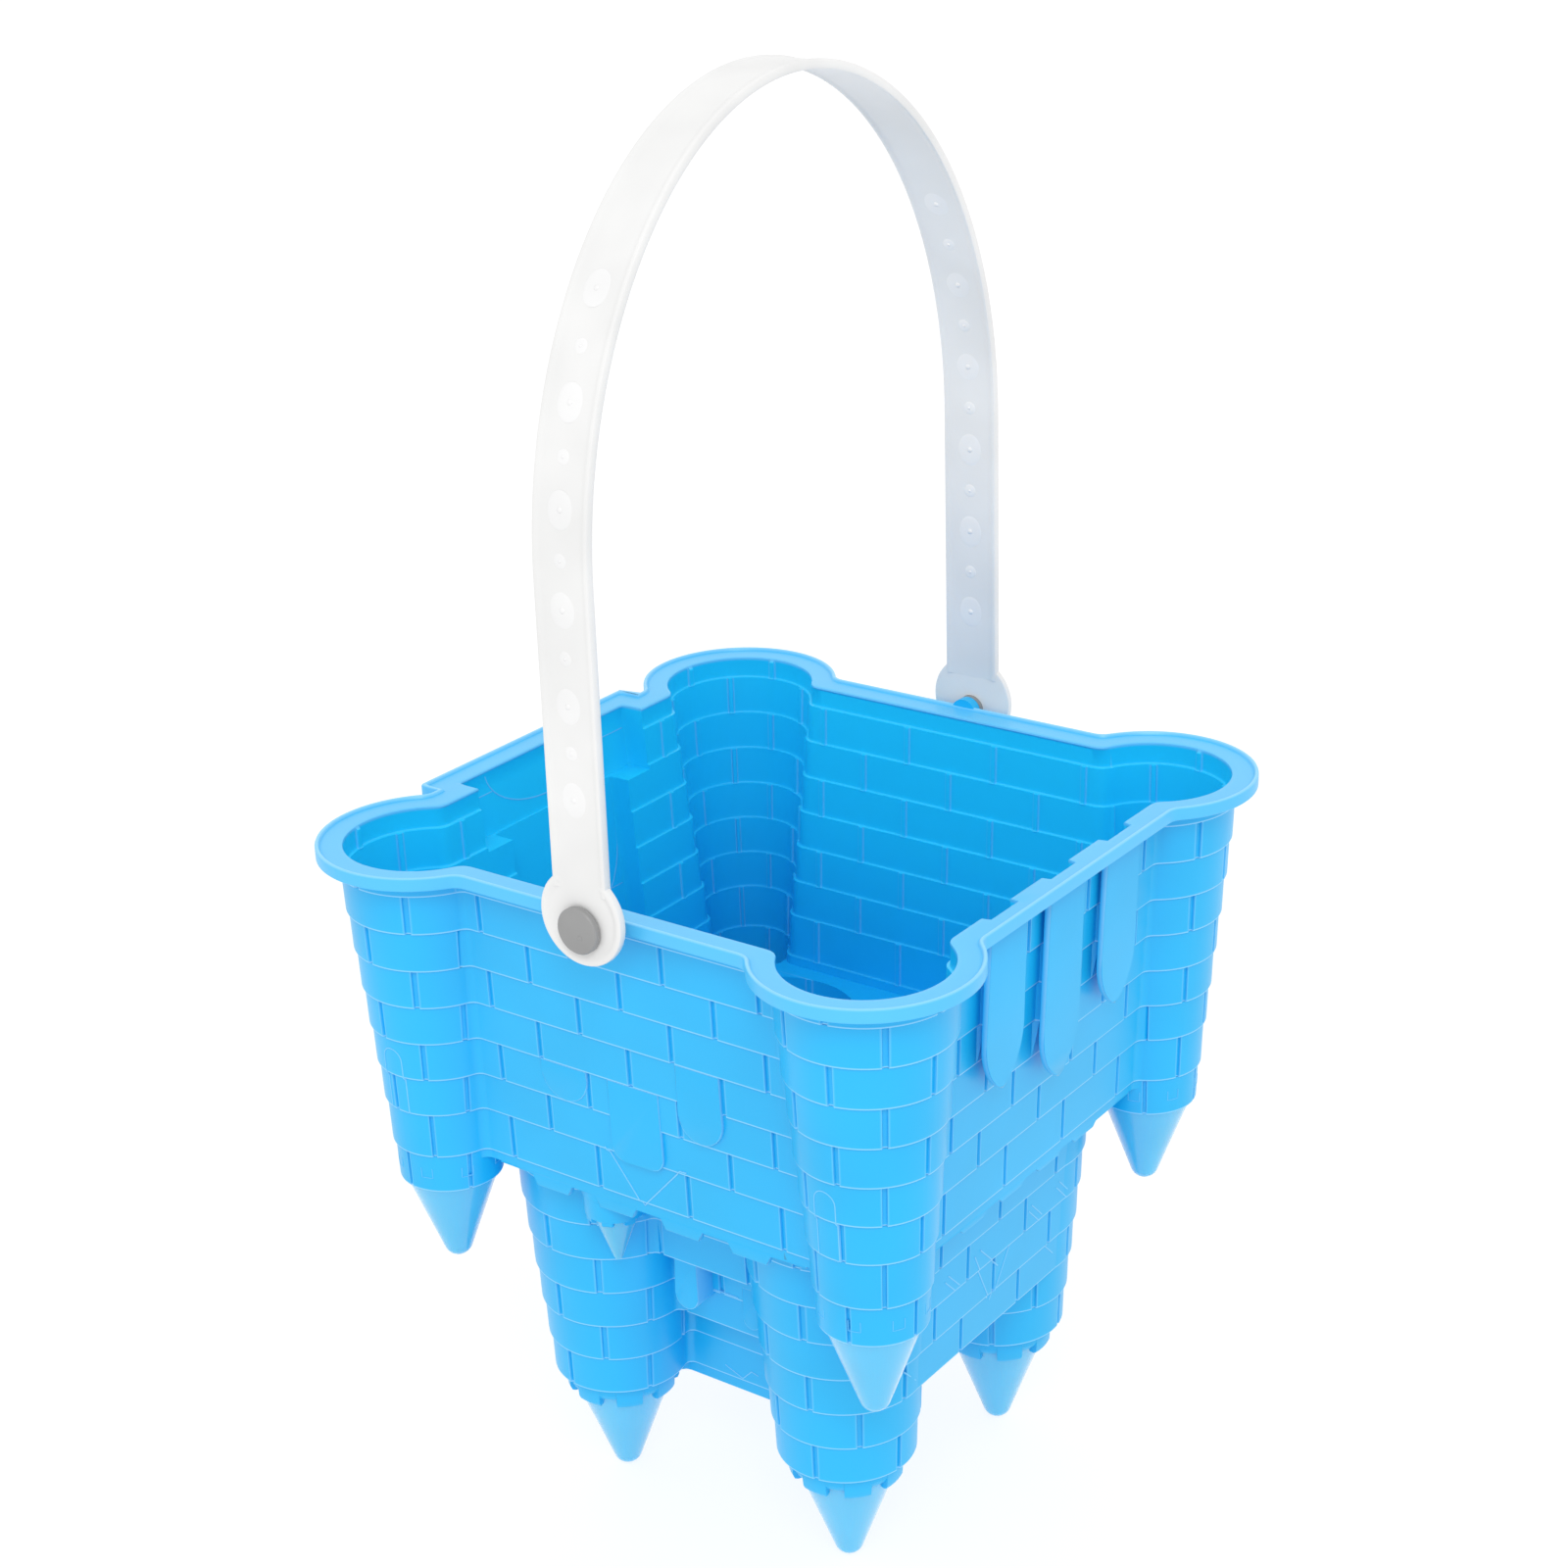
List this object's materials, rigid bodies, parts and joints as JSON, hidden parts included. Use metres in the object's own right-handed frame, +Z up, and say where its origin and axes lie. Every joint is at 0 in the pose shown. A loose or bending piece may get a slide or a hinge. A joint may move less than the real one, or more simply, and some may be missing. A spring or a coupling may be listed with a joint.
{
  "type": "sand bucket",
  "caption": "Castle-shaped sand bucket and mould with stepped brick tiers, conical corner towers and a strap handle that swings over the rim.",
  "frame": {"origin": "bottom centre: on the tub's vertical centre line, at the height of the four lower tower tips", "axes": "+Z up; the handle's hinge axis is parallel to Y; the gatehouse stands out of the -X wall and the three arched panels are on the +X wall"},
  "size_m": [0.1562, 0.1562, 0.3141],
  "materials": {
    "castle_tub": "smooth injection moulded, slightly translucent",
    "carry_handle": "smooth injection moulded, slightly translucent white",
    "pivot_button": "smooth grey plastic"
  },
  "bodies": {
    "tub": {"castle_tub": "castle_tub", "pivot_button_front": "pivot_button", "pivot_button_rear": "pivot_button"},
    "handle": {"carry_handle": "carry_handle"}
  },
  "joints": [
    {"name": "handle_swing", "type": "hinge", "parent": "tub", "child": "handle", "pos_m": [0, 0, 0.1584], "axis": [0, 1, 0], "range_deg": [-74, 74]}
  ]
}
